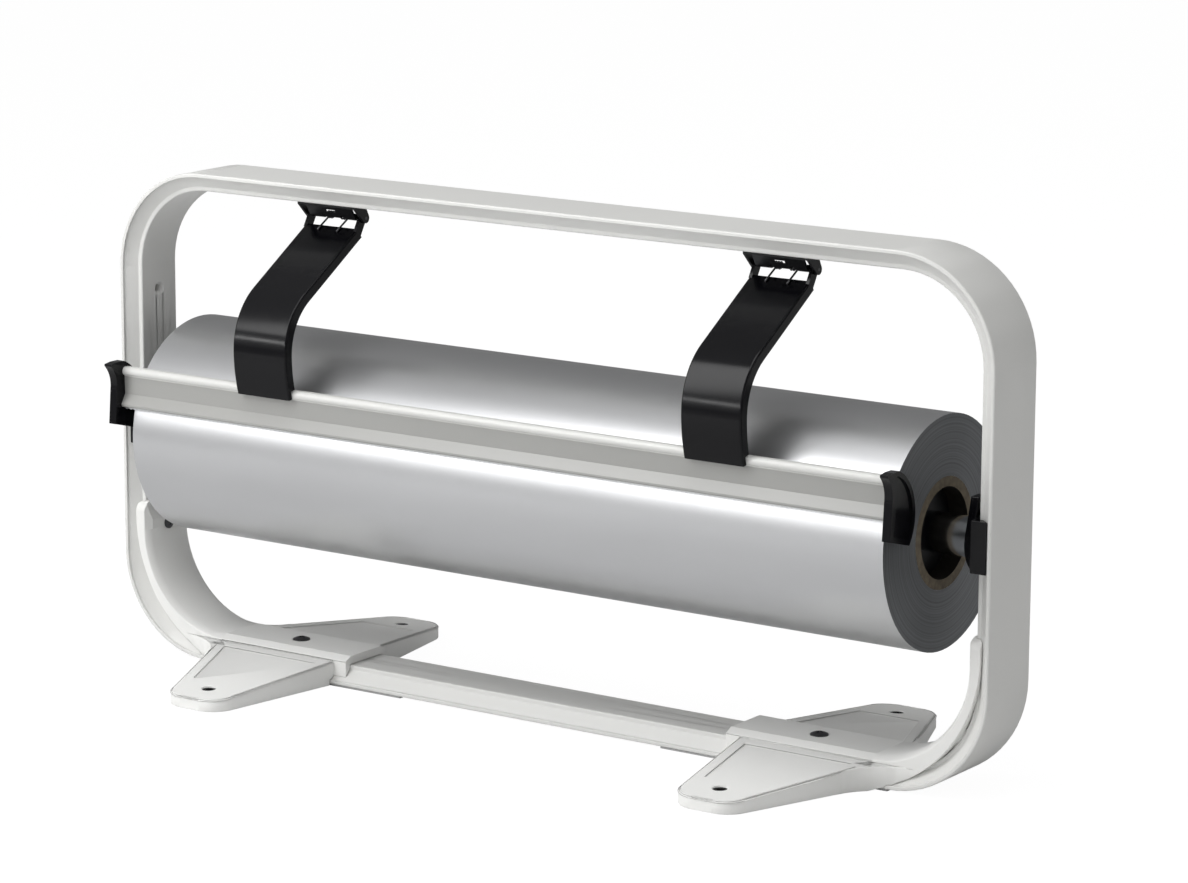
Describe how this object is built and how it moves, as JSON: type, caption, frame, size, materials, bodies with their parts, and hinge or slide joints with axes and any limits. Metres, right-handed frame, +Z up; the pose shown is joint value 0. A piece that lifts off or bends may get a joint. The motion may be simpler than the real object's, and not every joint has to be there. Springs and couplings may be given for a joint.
{
  "type": "table paper roll dispenser",
  "caption": "Bent strip frame on cast feet that holds a wrapping paper roll on a lift-out shaft, with a serrated cutting rail on sprung hinged arms.",
  "frame": {"origin": "centre of the base on the counter, midway between the feet and under the middle of the frame strip", "axes": "+X along the roll to the right seen from the front, -Y towards the user where the paper is pulled out, +Z up"},
  "size_m": [0.59, 0.22, 0.2924],
  "materials": {
    "frame_paint": "satin",
    "rail_aluminium": "satin",
    "strip_steel": "satin",
    "bush_rubber": "matte",
    "dark_screws": "satin",
    "black_plastic": "gloss",
    "black_metal": "satin",
    "pin_steel": "satin",
    "spring_steel": "satin",
    "blade_steel": "satin",
    "shaft_chrome": "satin",
    "plug_plastic": "satin",
    "core_card": "matte",
    "silver_paper": "satin"
  },
  "bodies": {
    "frame": {"frame_loop": "frame_paint", "left_foot": "frame_paint", "right_foot": "frame_paint", "left_clamp_strip": "strip_steel", "right_clamp_strip": "strip_steel", "foot_bushes": "bush_rubber", "saddle_screws": "dark_screws", "foot_arm_screws": "dark_screws", "left_shaft_holder": "black_plastic", "right_shaft_holder": "black_plastic", "holder_screws": "dark_screws", "left_arm_bracket": "black_metal", "right_arm_bracket": "black_metal", "bracket_screws": "dark_screws", "left_hinge_pin": "pin_steel", "right_hinge_pin": "pin_steel"},
    "cutter": {"left_spring_arm": "black_plastic", "right_spring_arm": "black_plastic", "left_torsion_spring": "spring_steel", "right_torsion_spring": "spring_steel", "arm_rivets": "dark_screws", "cutting_rail": "rail_aluminium", "serrated_blade": "blade_steel", "left_rail_cap": "black_plastic", "right_rail_cap": "black_plastic"},
    "axle": {"shaft": "shaft_chrome"},
    "roll": {"left_core_plug": "plug_plastic", "right_core_plug": "plug_plastic", "core_tube": "core_card", "paper_roll": "silver_paper"}
  },
  "joints": [
    {"name": "cutter_lift", "type": "hinge", "parent": "frame", "child": "cutter", "pos_m": [0, 0.003, 0.2725], "axis": [-1, 0, 0], "range_deg": [0, 40], "stiffness_Nm_per_rad": 0.5, "springref_deg": -34.38},
    {"name": "shaft_lift", "type": "slide", "parent": "frame", "child": "axle", "axis": [0, 0.7071, 0.7071], "range_m": [0, 0.12]},
    {"name": "roll_spin", "type": "hinge", "parent": "axle", "child": "roll", "pos_m": [0, 0, 0.14], "axis": [1, 0, 0], "continuous": true}
  ]
}
